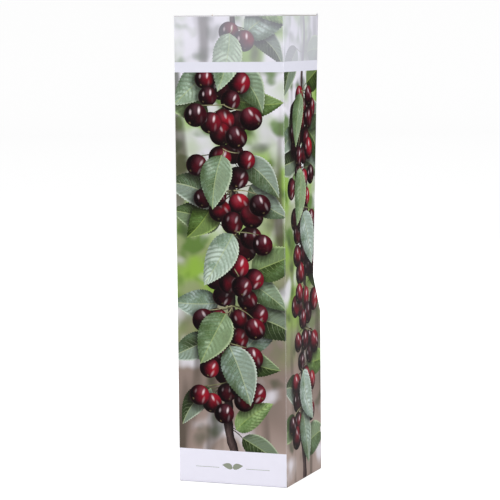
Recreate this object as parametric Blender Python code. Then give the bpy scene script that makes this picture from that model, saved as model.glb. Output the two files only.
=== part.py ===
"""Tall display carton for a potted patio fruit tree.

Micro-flute board, printed outside and plain inside. The lower part is a closed box that holds the
pot. Above it the back is cut away, with a sloped shoulder on each side, so that the front and the two
sides make a tall hood. A tuck lid closes the top. The bottom is four flaps folded over one another.

Metres, +Z up. The origin is the middle of the footprint on the ground, and the front faces -Y.
"""

import math

import bmesh
import bpy
from mathutils import Vector

# Carton
WIDTH = 0.210
DEPTH = 0.190
HEIGHT = 0.850
BOARD = 0.0016
GAP = 0.0003
CORNER_ROUND = 0.0014

# Cut-away back: the closed box ends at SHOULDER_LOW, and the hood begins at SHOULDER_HIGH
SHOULDER_LOW = 0.3005
SHOULDER_HIGH = 0.3688
NECK_DEPTH = 0.1513
TOP_DEPTH = 0.1875
SHOULDER_ROUND = 0.010
NECK_ROUND = 0.014

# Ears on the side panels that hold the lid's rear corners
EAR_LENGTH = 0.008
EAR_HEIGHT = 0.0020

# Lock slit in the right panel's rear edge, and the back panel's tab in it
SLIT_LOW = 0.070
SLIT_HEIGHT = 0.011
SLIT_DEPTH = 0.0055

# Lid and its flaps
LID_SIDE_CLEARANCE = 0.0005
TUCK_LENGTH = 0.038
TUCK_SIDE_CLEARANCE = 0.0012
TUCK_ROUND = 0.012
DUST_LENGTH = 0.072
DUST_FRONT_CLEARANCE = 0.003
DUST_REAR_CLEARANCE = 0.012
DUST_TAPER = 0.014

# Bottom flaps and the seam
REAR_FLAP_LENGTH = 0.122
FRONT_FLAP_LENGTH = 0.118
SIDE_FLAP_LENGTH = 0.078
FLAP_TAPER = 0.016
FLAP_ROUND = 0.008
SEAM_WIDTH = 0.024
SEAM_TAPER = 0.008

ARC_STEPS = 5
SAME_PLACE = 1e-6

FRONT_Y = -DEPTH / 2
REAR_Y = DEPTH / 2
SIDE_X = WIDTH / 2
INNER_X = SIDE_X - BOARD - GAP
INNER_FRONT_Y = FRONT_Y + BOARD + GAP
INNER_REAR_Y = REAR_Y - BOARD - GAP
WALL_TOP = HEIGHT - BOARD - GAP
HOOD_REAR_Y = FRONT_Y + TOP_DEPTH

for old in list(bpy.data.objects):
    bpy.data.objects.remove(old, do_unlink=True)


def board_finish(name, colour, roughness):
    finish = bpy.data.materials.new(name)
    finish.use_nodes = True
    shader = finish.node_tree.nodes["Principled BSDF"]
    shader.inputs["Base Color"].default_value = (*colour, 1.0)
    shader.inputs["Roughness"].default_value = roughness
    shader.inputs["Metallic"].default_value = 0.0
    return finish


PRINTED = board_finish("printed_board", (0.42, 0.45, 0.40), 0.38)
WHITE = board_finish("white_lined_board", (0.80, 0.79, 0.80), 0.45)
KRAFT = board_finish("kraft_board", (0.50, 0.36, 0.23), 0.80)


def rounded(corners):
    """Outline points from (x, y, radius) corners. A corner with a radius becomes an arc."""
    points = []
    for i, (x, y, radius) in enumerate(corners):
        corner = Vector((x, y))
        if radius == 0:
            points.append(corner)
            continue
        to_last = (Vector(corners[i - 1][:2]) - corner).normalized()
        to_next = (Vector(corners[(i + 1) % len(corners)][:2]) - corner).normalized()
        half = to_last.angle(to_next) / 2
        centre = corner + (to_last + to_next).normalized() * radius / math.sin(half)
        start = corner + to_last * radius / math.tan(half) - centre
        end = corner + to_next * radius / math.tan(half) - centre
        for step in range(ARC_STEPS + 1):
            points.append(centre + start.lerp(end, step / ARC_STEPS).normalized() * radius)
    return points


def sheet(name, outline, finish, bottom=0.0):
    """A flat sheet of board: the outline in the local XY plane, raised along Z from bottom."""
    shape = bmesh.new()
    face = shape.faces.new([shape.verts.new((x, y, bottom)) for x, y in outline])
    raised = bmesh.ops.extrude_face_region(shape, geom=[face])["geom"]
    top = [v for v in raised if isinstance(v, bmesh.types.BMVert)]
    bmesh.ops.translate(shape, verts=top, vec=(0.0, 0.0, BOARD))
    bmesh.ops.recalc_face_normals(shape, faces=shape.faces[:])
    return finished(name, shape, finish)


def finished(name, shape, finish):
    mesh = bpy.data.meshes.new(name)
    shape.to_mesh(mesh)
    shape.free()
    mesh.materials.append(finish)
    piece = bpy.data.objects.new(name, mesh)
    bpy.context.collection.objects.link(piece)
    return piece


def bevel_edges(piece, wanted, width, segments):
    """Round the edges for which wanted(first, last) is true, where first and last are their ends."""
    shape = bmesh.new()
    shape.from_mesh(piece.data)
    edges = [e for e in shape.edges if wanted(e.verts[0].co, e.verts[1].co)]
    bmesh.ops.bevel(
        shape, geom=edges, offset=width, offset_type="OFFSET", segments=segments, profile=0.5,
        affect="EDGES", material=-1, clamp_overlap=True,
    )
    shape.to_mesh(piece.data)
    shape.free()


def flap(name, outline, finish):
    """A sheet that turns about its local X axis: its edge at Y = -BOARD / 2 is rolled round that axis."""
    piece = sheet(name, outline, finish, bottom=-BOARD / 2)

    def hinged(a, b):
        return max(a.y, b.y) < SAME_PLACE - BOARD / 2 and abs(a.z - b.z) < SAME_PLACE

    bevel_edges(piece, hinged, BOARD * 0.48, 4)
    return piece


def stand(piece, x=0.0, y=0.0, z=0.0, turn=(90.0, 0.0, 0.0)):
    piece.location = (x, y, z)
    piece.rotation_euler = [math.radians(angle) for angle in turn]


def wall(name, height):
    """A full-width wall, with its two upright outer edges rounded where the board is folded."""
    outline = [(-SIDE_X, 0), (SIDE_X, 0), (SIDE_X, height), (-SIDE_X, height)]
    piece = sheet(name, outline, PRINTED)

    def folded(a, b):
        return min(a.z, b.z) > BOARD / 2 and abs(a.x - b.x) < SAME_PLACE

    bevel_edges(piece, folded, CORNER_ROUND, 3)
    return piece


def build_front_and_back():
    stand(wall("front_panel", WALL_TOP), y=FRONT_Y + BOARD)
    stand(wall("back_panel", SHOULDER_LOW), y=REAR_Y - BOARD, turn=(90.0, 0.0, 180.0))


def side_corners(has_slit):
    """A side panel's outline as (y, z, radius), from the front bottom corner round the back."""
    slit = [
        (INNER_REAR_Y, SLIT_LOW, 0),
        (INNER_REAR_Y - SLIT_DEPTH, SLIT_LOW, 0),
        (INNER_REAR_Y - SLIT_DEPTH, SLIT_LOW + SLIT_HEIGHT, 0),
        (INNER_REAR_Y, SLIT_LOW + SLIT_HEIGHT, 0),
    ]
    ear_top = HEIGHT + EAR_HEIGHT
    return [
        (INNER_FRONT_Y, 0, 0),
        (INNER_REAR_Y, 0, 0),
        *(slit if has_slit else []),
        (INNER_REAR_Y, SHOULDER_LOW, SHOULDER_ROUND),
        (FRONT_Y + NECK_DEPTH, SHOULDER_HIGH, NECK_ROUND),
        (HOOD_REAR_Y, ear_top, 0),
        (HOOD_REAR_Y - EAR_LENGTH * 0.75, ear_top, 0),
        (HOOD_REAR_Y - EAR_LENGTH, WALL_TOP, 0),
        (INNER_FRONT_Y, WALL_TOP, 0),
    ]


def build_sides():
    for name, x, has_slit in (("left_panel", -SIDE_X, False), ("right_panel", SIDE_X - BOARD, True)):
        piece = sheet(name, rounded(side_corners(has_slit)), PRINTED)
        stand(piece, x=x, turn=(90.0, 0.0, 90.0))


def build_seam_flap():
    """The left panel's glue flap, folded in behind the back panel."""
    low, high = 3 * (BOARD + GAP), SHOULDER_LOW - SEAM_TAPER
    outline = [
        (-INNER_X, low),
        (-INNER_X + SEAM_WIDTH, low + SEAM_TAPER),
        (-INNER_X + SEAM_WIDTH, high - SEAM_TAPER),
        (-INNER_X, high),
    ]
    stand(sheet("seam_flap", outline, KRAFT), y=INNER_REAR_Y)


def build_lock_tab():
    """The back panel's tab, pushed through the slit in the right panel's rear edge."""
    outline = [
        (INNER_REAR_Y - SLIT_DEPTH + GAP, SLIT_LOW + GAP),
        (INNER_REAR_Y, SLIT_LOW + GAP),
        (INNER_REAR_Y, SLIT_LOW + SLIT_HEIGHT - GAP),
        (INNER_REAR_Y - SLIT_DEPTH + GAP, SLIT_LOW + SLIT_HEIGHT - GAP),
    ]
    piece = sheet("lock_tab", outline, KRAFT)
    stand(piece, x=SIDE_X - BOARD, turn=(90.0, 0.0, 90.0))


def floor_level(layer):
    """The underside of a bottom flap: 0 is the outermost."""
    return layer * (BOARD + GAP)


def build_bottom():
    rear = [
        (-INNER_X, INNER_REAR_Y, 0),
        (-INNER_X, INNER_REAR_Y - REAR_FLAP_LENGTH + FLAP_TAPER, 0),
        (-INNER_X + FLAP_TAPER, INNER_REAR_Y - REAR_FLAP_LENGTH, FLAP_ROUND),
        (INNER_X - FLAP_TAPER, INNER_REAR_Y - REAR_FLAP_LENGTH, FLAP_ROUND),
        (INNER_X, INNER_REAR_Y - REAR_FLAP_LENGTH + FLAP_TAPER, 0),
        (INNER_X, INNER_REAR_Y, 0),
    ]
    stand(sheet("bottom_rear_flap", rounded(rear), KRAFT), z=floor_level(0), turn=(0, 0, 0))

    for name, side in (("bottom_left_flap", -1), ("bottom_right_flap", 1)):
        outline = [
            (side * INNER_X, INNER_FRONT_Y, 0),
            (side * INNER_X, INNER_REAR_Y, 0),
            (side * (INNER_X - SIDE_FLAP_LENGTH), INNER_REAR_Y - 2 * FLAP_TAPER, FLAP_ROUND),
            (side * (INNER_X - SIDE_FLAP_LENGTH), INNER_FRONT_Y + 2 * FLAP_TAPER, FLAP_ROUND),
        ]
        stand(sheet(name, rounded(outline), KRAFT), z=floor_level(1), turn=(0, 0, 0))

    front = [
        (-INNER_X, INNER_FRONT_Y, 0),
        (INNER_X, INNER_FRONT_Y, 0),
        (INNER_X - FLAP_TAPER, INNER_FRONT_Y + FRONT_FLAP_LENGTH, FLAP_ROUND),
        (-INNER_X + FLAP_TAPER, INNER_FRONT_Y + FRONT_FLAP_LENGTH, FLAP_ROUND),
    ]
    stand(sheet("bottom_front_flap", rounded(front), KRAFT), z=floor_level(2), turn=(0, 0, 0))


def build_lid():
    """The lid turns on the front panel's top edge, and the tuck flap on the lid's rear edge."""
    half = SIDE_X - LID_SIDE_CLEARANCE
    between_ears = INNER_X - GAP
    hinge_y = FRONT_Y + BOARD / 2
    tuck_y = HOOD_REAR_Y - BOARD / 2
    rear = tuck_y - BOARD / 2 - GAP - hinge_y
    ear_front = HOOD_REAR_Y - EAR_LENGTH - GAP - hinge_y
    outline = [
        (-half, -BOARD / 2), (half, -BOARD / 2), (half, ear_front), (between_ears, ear_front),
        (between_ears, rear), (-between_ears, rear), (-between_ears, ear_front), (-half, ear_front),
    ]
    lid = flap("lid", outline, PRINTED)
    stand(lid, y=hinge_y, z=HEIGHT - BOARD / 2, turn=(0, 0, 0))

    half = INNER_X - TUCK_SIDE_CLEARANCE
    outline = [
        (-half, -BOARD / 2, 0),
        (half, -BOARD / 2, 0),
        (half, TUCK_LENGTH, TUCK_ROUND),
        (-half, TUCK_LENGTH, TUCK_ROUND),
    ]
    tuck = flap("tuck_flap", rounded(outline), WHITE)
    tuck.parent = lid
    stand(tuck, y=tuck_y - hinge_y, turn=(-90.0, 0.0, 0.0))


def build_dust_flaps():
    """Two flaps under the lid, each turning on a side panel's top edge."""
    front = INNER_FRONT_Y + DUST_FRONT_CLEARANCE
    rear = HOOD_REAR_Y - DUST_REAR_CLEARANCE
    middle, half = (front + rear) / 2, (rear - front) / 2
    outline = [
        (-half, -BOARD / 2, 0),
        (half, -BOARD / 2, 0),
        (half - DUST_TAPER, DUST_LENGTH, FLAP_ROUND),
        (-half + DUST_TAPER, DUST_LENGTH, FLAP_ROUND),
    ]
    for name, side in (("left_dust_flap", -1), ("right_dust_flap", 1)):
        piece = flap(name, rounded(outline), WHITE)
        stand(
            piece, x=side * (INNER_X - BOARD / 2), y=middle, z=WALL_TOP - BOARD / 2,
            turn=(0.0, 0.0, side * 90.0),
        )


build_front_and_back()
build_sides()
build_seam_flap()
build_lock_tab()
build_bottom()
build_lid()
build_dust_flaps()
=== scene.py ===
from math import cos, pi, radians, sin, tau
from random import Random

import bmesh
import bpy
from mathutils import Euler, Matrix, Vector
from mathutils.geometry import delaunay_2d_cdt
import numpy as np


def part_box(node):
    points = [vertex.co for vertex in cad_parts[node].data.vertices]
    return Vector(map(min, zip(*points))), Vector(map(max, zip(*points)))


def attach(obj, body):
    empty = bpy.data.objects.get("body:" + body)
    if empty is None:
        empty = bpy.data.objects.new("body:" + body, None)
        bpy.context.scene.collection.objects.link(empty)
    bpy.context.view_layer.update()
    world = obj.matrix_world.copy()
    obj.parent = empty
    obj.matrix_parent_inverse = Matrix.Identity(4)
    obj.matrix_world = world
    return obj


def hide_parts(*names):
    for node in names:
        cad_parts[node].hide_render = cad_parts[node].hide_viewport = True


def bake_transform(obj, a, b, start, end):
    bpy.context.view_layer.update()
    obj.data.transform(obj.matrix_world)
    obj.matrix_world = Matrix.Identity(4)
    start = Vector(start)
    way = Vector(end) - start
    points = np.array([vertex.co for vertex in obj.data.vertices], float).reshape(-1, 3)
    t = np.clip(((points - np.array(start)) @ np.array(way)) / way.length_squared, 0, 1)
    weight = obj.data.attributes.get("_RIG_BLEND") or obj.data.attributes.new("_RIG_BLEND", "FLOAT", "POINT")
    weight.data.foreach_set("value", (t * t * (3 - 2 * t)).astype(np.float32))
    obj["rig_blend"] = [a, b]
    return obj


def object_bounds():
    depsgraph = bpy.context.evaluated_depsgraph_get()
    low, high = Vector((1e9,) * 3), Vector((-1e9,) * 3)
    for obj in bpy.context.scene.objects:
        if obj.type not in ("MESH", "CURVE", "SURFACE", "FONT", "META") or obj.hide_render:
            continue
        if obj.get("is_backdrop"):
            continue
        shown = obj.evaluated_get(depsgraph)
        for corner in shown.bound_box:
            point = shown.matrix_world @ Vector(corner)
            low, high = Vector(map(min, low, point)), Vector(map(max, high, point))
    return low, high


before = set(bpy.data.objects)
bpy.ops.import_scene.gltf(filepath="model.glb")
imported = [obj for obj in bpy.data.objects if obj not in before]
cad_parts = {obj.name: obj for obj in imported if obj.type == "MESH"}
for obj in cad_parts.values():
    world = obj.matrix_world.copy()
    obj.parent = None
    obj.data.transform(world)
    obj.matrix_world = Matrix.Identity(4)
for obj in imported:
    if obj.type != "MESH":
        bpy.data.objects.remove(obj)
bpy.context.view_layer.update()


# Camera
# A long lens, a little above the carton's middle and round to its right, so that the front and
# the narrow right side both show, as in the photograph.
lens = bpy.data.cameras.new("photograph")
lens.lens = 158.19
lens.sensor_width = 36.0
lens.clip_end = 60.0
camera = bpy.data.objects.new("photograph", lens)
camera.location = (1.4466, -3.7566, 0.8303)
camera.rotation_euler = Euler((radians(84.1774), radians(0.5644), radians(20.9833)))
bpy.context.scene.collection.objects.link(camera)
bpy.context.scene.camera = camera


# Studio
# A floor that rises to a low rim far away, under an even sky, with a large soft box on the left
# of the camera, a smaller one on its right and one behind. As in a cut-out photograph, the
# camera sees floor and sky burnt out to plain white, while they light the carton only softly.
FLOOR_RADIUS = 13.0
LEVEL_PATCH = 3.9  # radius of the floor's innermost ring of faces
RIM_RISE = 1.0
RIM_HEIGHT = 2.4
LIGHTS_AIM = Vector((0.0, 0.0, 0.45))


def colour(code):
    """An sRGB hex colour as the linear colour that a node takes."""
    channels = [int(code[place:place + 2], 16) / 255 for place in (1, 3, 5)]
    linear = [c / 12.92 if c <= 0.04045 else ((c + 0.055) / 1.055) ** 2.4 for c in channels]
    return (*linear, 1.0)


def add_node(material, kind, *values, stops=(), **settings):
    """Add a node with its settings. Its sockets take their values or links in their own order,
    or by name from one table, and a run of colours takes its stops."""
    tree = material.node_tree
    node = tree.nodes.new("ShaderNode" + kind)
    for name, value in settings.items():
        setattr(node, name, value)
    sockets = [socket for socket in node.inputs if socket.enabled]
    if values and isinstance(values[0], dict):
        named = values[0]
        sockets = [next(s for s in sockets if s.name == name) for name in named]
        values = named.values()
    for socket, value in zip(sockets, values):
        if isinstance(value, bpy.types.Node):
            value = next(s for s in value.outputs if s.enabled)
        if isinstance(value, bpy.types.NodeSocket):
            tree.links.new(value, socket)
        else:
            socket.default_value = value
    if stops:
        ramp = node.color_ramp
        ramp.interpolation = "B_SPLINE"
        while len(ramp.elements) < len(stops):
            ramp.elements.new(0.5)
        for element, (position, tint) in zip(ramp.elements, stops):
            element.position = position
            element.color = colour(tint)
    return node


def new_material(name):
    material = bpy.data.materials.new(name)
    material.use_nodes = True
    material.node_tree.nodes.clear()
    return material


def finished(name, shape, *materials):
    """Turn a bmesh into an object of the scene."""
    mesh = bpy.data.meshes.new(name)
    shape.to_mesh(mesh)
    shape.free()
    for material in materials:
        mesh.materials.append(material)
    piece = bpy.data.objects.new(name, mesh)
    bpy.context.scene.collection.objects.link(piece)
    return piece


def per_metre(millimetres):
    """How many patches or streaks of this size lie in a metre: a pattern's scale."""
    return 1000.0 / millimetres


def painted_floor():
    """Matt grey paint with a faint grain, which glows to plain white for the camera alone."""
    paint = new_material("matt studio paint")
    place = add_node(paint, "TexCoord").outputs["Object"]
    grain = add_node(paint, "TexNoise", place, per_metre(111.0), 2.0)
    tint = add_node(
        paint, "Mix", grain, colour("#8d8d8e"), colour("#888888"), data_type="RGBA"
    )
    seen = add_node(paint, "LightPath").outputs["Is Camera Ray"]
    glow = add_node(paint, "Math", seen, 0.93, operation="MULTIPLY")
    surface = add_node(
        paint, "BsdfPrincipled",
        {"Base Color": tint, "Roughness": 0.95, "Emission Color": colour("#ffffff"),
         "Emission Strength": glow},
    )
    add_node(paint, "OutputMaterial", surface)
    return paint


shape = bmesh.new()
profile = [shape.verts.new((reach, 0.0, 0.0)) for reach in (0.0, LEVEL_PATCH, FLOOR_RADIUS)]
for turn in (15, 30, 45, 60, 75, 90):
    profile.append(shape.verts.new((
        FLOOR_RADIUS + RIM_RISE * sin(radians(turn)), 0.0, RIM_RISE * (1 - cos(radians(turn)))
    )))
profile.append(shape.verts.new((FLOOR_RADIUS + RIM_RISE, 0.0, RIM_HEIGHT)))
edges = [shape.edges.new(pair) for pair in zip(profile, profile[1:])]
bmesh.ops.spin(
    shape, geom=profile + edges, axis=(0, 0, 1), cent=(0, 0, 0), angle=tau, steps=72,
    use_merge=True,
)
bmesh.ops.remove_doubles(shape, verts=shape.verts[:], dist=0.0001)
bmesh.ops.recalc_face_normals(shape, faces=shape.faces[:])
if next(iter(shape.faces)).normal.z < 0:
    bmesh.ops.reverse_faces(shape, faces=shape.faces[:])
floor = finished("studio_floor", shape, painted_floor())
floor.data.shade_smooth()
floor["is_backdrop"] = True

sky = bpy.data.worlds.new("white studio")
sky.use_nodes = True
sky.node_tree.nodes.clear()
seen = add_node(sky, "LightPath").outputs["Is Camera Ray"]
brightness = add_node(sky, "Mix", seen, 0.20, 1.1)
add_node(sky, "OutputWorld", add_node(sky, "Background", colour("#ffffff"), brightness))
bpy.context.scene.world = sky
bpy.context.scene.view_settings.view_transform = "Standard"

for name, place, size, power in (
    ("left_soft_box", (-3.7, -2.1, 1.8), 2.0, 200.0),
    ("right_soft_box", (3.6, -1.6, 1.5), 1.8, 150.0),
    ("rear_soft_box", (-1.0, 3.6, 2.0), 1.8, 130.0),
):
    lamp = bpy.data.lights.new(name, "AREA")
    lamp.size = size
    lamp.energy = power
    box = bpy.data.objects.new(name, lamp)
    box.location = place
    box.rotation_euler = (LIGHTS_AIM - Vector(place)).to_track_quat("-Z", "Y").to_euler()
    bpy.context.scene.collection.objects.link(box)


# Front wall
# Corrugated board with kraft inside and a photo-printed, satin-varnished white liner outside.
# The blank is printed flat, cut, creased and wrapped, so this wall's ink runs round both
# front corners, where the crease has worn it pale.
front_low, front_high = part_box("front_panel")
rear_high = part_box("back_panel")[1]
WIDTH = front_high.x - front_low.x
DEPTH = rear_high.y - front_low.y
BOARD = front_high.y - front_low.y
WALL_TOP = front_high.z
CORNER_BEND = 0.0020  # outer radius where two walls meet
FOOT_BEND = 0.0017  # outer radius where a wall turns under the carton
WALL_BOW = 0.0006  # how far the middle of a wall sinks in
SEAM = 0.00002  # hairline between two pieces cut from the one blank
FIT = 0.0003  # play between two parts of the carton that meet
BLEED = 0.01  # the bands are printed this far past the cut
FLUTE = 0.0032  # from one ridge of the fluted paper to the next
HEADER_FOOT = 0.7667  # the picture is washed out above this height
BAND_FOOT = 0.7483  # a bare white band lies between this height and the header
LABEL_TOP = 0.0620  # the front's bare white label
HEADER_WASH = 0.29  # share of white over the picture in the header and on the lid
SIDE_WASH = 0.66  # the same above the band on the sides
CREASE_WEAR = 0.22  # share of bare paper on a crease
CREASE_REACH = 0.0021  # how far from a crease its ink is worn
PICTURE_STEP = 0.0075  # spacing of the points that carry the printed shadows
SHADOW_REACH = 0.0100  # a printed shadow fades out over this distance
SHADOW_DROP = Vector((-0.0030, -0.0044))  # the picture is lit from its upper right
SHADOW_DEPTH = 0.84  # how dark it is right under what casts it

BACKDROP, LEAF, FRUIT, CALYX, BARK, STALK, WHITE, LABEL, RULE, KRAFT, CUT = range(11)


def surfaced(material, tint, roughness, height, strength, ior=1.5):
    """Close a material with its colour, its gloss and its relief, whose height is in metres."""
    relief = add_node(material, "Bump", {"Height": height, "Distance": 1.0, "Strength": strength})
    surface = add_node(
        material, "BsdfPrincipled",
        {"Base Color": tint, "Roughness": roughness, "IOR": ior, "Normal": relief},
    )
    add_node(material, "OutputMaterial", surface)
    return material


def fluting(material, across):
    """The board's flutes: a wave from -1 to 1 along a distance across them."""
    wave = add_node(material, "Math", across, tau / FLUTE, operation="MULTIPLY")
    return add_node(material, "Math", wave, operation="SINE")


def varnished(ink, picture):
    """Lay the printed shadows, the header's white wash and the creases' wear over a picture,
    then the board's varnish.

    Satin varnish gives broad soft reflections, which the board's slow waves and its flutes
    break up very slightly."""
    shade, wash, wear = (
        add_node(ink, "Attribute", attribute_name=name).outputs["Fac"]
        for name in ("shadow", "wash", "wear")
    )
    shade = add_node(ink, "Math", shade, SHADOW_DEPTH, operation="MULTIPLY")
    blank = add_node(ink, "UVMap", uv_map="blank")
    rubs = add_node(ink, "TexNoise", blank, per_metre(3.85), 3.0)
    rubs = add_node(ink, "MapRange", rubs, 0.3, 0.6, 0.6, 1.0)
    wear = add_node(ink, "Math", wear, rubs, operation="MULTIPLY")
    for amount, tint in ((shade, "#120a0b"), (wash, "#e1e1ec"), (wear, "#dcdde0")):
        picture = add_node(ink, "Mix", amount, picture, colour(tint), data_type="RGBA")
    flute = fluting(ink, add_node(ink, "SeparateXYZ", blank).outputs["X"])
    wave = add_node(ink, "TexNoise", blank, per_metre(45.5), 1.0)
    height = add_node(ink, "Math", wave, 0.0011, operation="MULTIPLY")
    height = add_node(ink, "Math", flute, 0.000007, height, operation="MULTIPLY_ADD")
    return surfaced(ink, picture, 0.36, height, 0.5, ior=1.26)


def backdrop_ink():
    """An out-of-focus garden: soft lilac-grey light above, greens in the middle, earth below."""
    ink = new_material("offset print, blurred garden")
    blank = add_node(ink, "UVMap", uv_map="blank")
    height = add_node(ink, "SeparateXYZ", blank).outputs["Y"]
    drift = add_node(ink, "TexNoise", blank, per_metre(133.3), 1.0)
    level = add_node(ink, "MapRange", height, 0.0, WALL_TOP, 0.0, 1.0)
    level = add_node(ink, "Math", drift, 0.60, level, operation="MULTIPLY_ADD")
    level = add_node(ink, "Math", level, 0.30, operation="SUBTRACT")
    picture = add_node(ink, "ValToRGB", level, stops=(
        (0.00, "#b3a199"), (0.12, "#9a877f"), (0.24, "#7d6f66"), (0.35, "#978e84"),
        (0.46, "#85965a"), (0.57, "#adb994"), (0.69, "#cfccd4"), (0.85, "#e6e3ee"),
    ))
    lawn = add_node(ink, "MapRange", height, 0.20, 0.36, 0.0, 0.90)
    for shift, squash, size, low, high, most, tint in (
        ((0.0, 0.0, 0.0), (1.0, 1.0, 1.0), 100.0, 0.44, 0.62, lawn, "#8bb13f"),
        ((11.0, 5.0, 0.0), (1.0, 1.0, 1.0), 52.6, 0.50, 0.66, lawn, "#5a7a35"),
        ((3.0, 1.0, 0.0), (1.0, 1.0, 1.0), 66.7, 0.54, 0.72, 0.80, "#eae7f0"),
        ((0.0, 0.0, 0.0), (1.0, 0.125, 1.0), 41.7, 0.52, 0.68, 0.80, "#4e463c"),
        ((7.0, 2.0, 0.0), (1.0, 1.0, 1.0), 58.8, 0.55, 0.70, 0.72, "#3f4a34"),
    ):
        patches = add_node(ink, "Mapping", {"Vector": blank, "Location": shift, "Scale": squash})
        patches = add_node(ink, "TexNoise", patches, per_metre(size), 1.5)
        patches = add_node(
            ink, "MapRange", patches, low, high, 0.0, most, interpolation_type="SMOOTHSTEP"
        )
        picture = add_node(ink, "Mix", patches, picture, colour(tint), data_type="RGBA")
    return varnished(ink, picture)


LEAF_FOOT = 0.62  # how bluntly a leaf begins at its stalk
LEAF_TIP = 1.06  # how sharply it ends
LEAF_SWELL = 2.98  # brings its widest half to about 1


def leaf_breadth(along):
    """Half a leaf's breadth at a share of its length, as a share of its widest half."""
    along = min(max(along, 0.0), 1.0)
    return LEAF_SWELL * along ** LEAF_FOOT * (1.0 - along) ** LEAF_TIP


def leaf_ink():
    """A leaf lit from above: its halves catch the light differently, its surface is quilted
    between fine side veins, and some leaves are bluish and some yellow-green."""
    ink = new_material("offset print, sage leaf")
    own = add_node(ink, "SeparateXYZ", add_node(ink, "UVMap", uv_map="print"))
    along, aside = own.outputs["X"], own.outputs["Y"]
    tone, bend = (
        add_node(ink, "Attribute", attribute_name=name).outputs["Fac"]
        for name in ("tone", "bend")
    )
    rest = add_node(ink, "Math", 1.0, along, operation="SUBTRACT", use_clamp=True)
    arc = add_node(ink, "Math", along, rest, operation="MULTIPLY")
    arc = add_node(ink, "Math", arc, bend, operation="MULTIPLY")
    off = add_node(ink, "Math", arc, -4.0, aside, operation="MULTIPLY_ADD")
    foot = add_node(ink, "Math", along, LEAF_FOOT, operation="POWER")
    tip = add_node(ink, "Math", rest, LEAF_TIP, operation="POWER")
    breadth = add_node(ink, "Math", foot, tip, operation="MULTIPLY")
    breadth = add_node(ink, "Math", breadth, LEAF_SWELL, operation="MULTIPLY")
    breadth = add_node(ink, "Math", breadth, 0.02, operation="MAXIMUM")
    share = add_node(ink, "Math", off, breadth, operation="DIVIDE")
    away = add_node(ink, "Math", share, operation="ABSOLUTE")

    blank = add_node(ink, "UVMap", uv_map="blank")
    glaze = add_node(ink, "TexNoise", blank, per_metre(31.25), 1.0)
    level = add_node(ink, "Math", glaze, 1.20, tone, operation="MULTIPLY_ADD")
    mottle = add_node(ink, "TexNoise", blank, per_metre(4.35), 4.0)
    level = add_node(ink, "Math", mottle, 0.62, level, operation="MULTIPLY_ADD")
    level = add_node(ink, "Math", level, 0.95, operation="SUBTRACT")
    picture = add_node(ink, "ValToRGB", level, stops=(
        (0.0, "#27301f"), (0.25, "#4b5a3a"), (0.5, "#6b8063"), (0.75, "#8aa193"),
        (1.0, "#d8e6e2"),
    ))

    lit_half = add_node(
        ink, "MapRange", off, -0.06, 0.06, 0.0, 0.34, interpolation_type="SMOOTHSTEP"
    )
    curl = add_node(
        ink, "MapRange", share, -0.25, -1.0, 0.0, 0.42, interpolation_type="SMOOTHSTEP"
    )
    ribs = add_node(ink, "Math", away, 1.35, operation="POWER")
    ribs = add_node(ink, "Math", ribs, -0.20, along, operation="MULTIPLY_ADD")
    ribs = add_node(ink, "Math", mottle, 0.035, ribs, operation="MULTIPLY_ADD")
    ribs = add_node(ink, "Math", ribs, 11.0, operation="MULTIPLY")
    ribs = add_node(ink, "Math", ribs, 0.5, operation="PINGPONG")
    hollow = add_node(
        ink, "MapRange", ribs, 0.05, 0.34, 0.52, 0.0, interpolation_type="SMOOTHSTEP"
    )
    broken = add_node(ink, "MapRange", glaze, 0.35, 0.6, 0.0, 1.0)
    hollow = add_node(ink, "Math", hollow, broken, operation="MULTIPLY")
    vein = add_node(ink, "MapRange", ribs, 0.0, 0.07, 0.60, 0.0)
    fade = add_node(ink, "MapRange", away, 0.2, 1.0, 1.0, 0.1)
    vein = add_node(ink, "Math", vein, fade, operation="MULTIPLY")
    middle = add_node(ink, "Math", off, operation="ABSOLUTE")
    middle = add_node(ink, "MapRange", middle, 0.012, 0.042, 0.70, 0.0)
    rim = add_node(ink, "MapRange", share, 0.86, 0.98, 0.0, 0.60)
    for amount, tint in (
        (lit_half, "#c3d3cb"), (curl, "#2c3823"), (hollow, "#33422f"), (vein, "#b7c3a6"),
        (middle, "#b9c49c"), (rim, "#dbe5d8"),
    ):
        picture = add_node(ink, "Mix", amount, picture, colour(tint), data_type="RGBA")
    hue = add_node(ink, "Math", tone, 7.3, operation="MULTIPLY")
    hue = add_node(ink, "Math", hue, operation="FRACT")
    hue = add_node(ink, "MapRange", hue, 0.30, 1.0, 0.0, 0.95)
    sunlit = add_node(
        ink, "Mix", hue, picture, colour("#c9de7c"), data_type="RGBA", blend_type="MULTIPLY"
    )
    return varnished(ink, sunlit)


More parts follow.
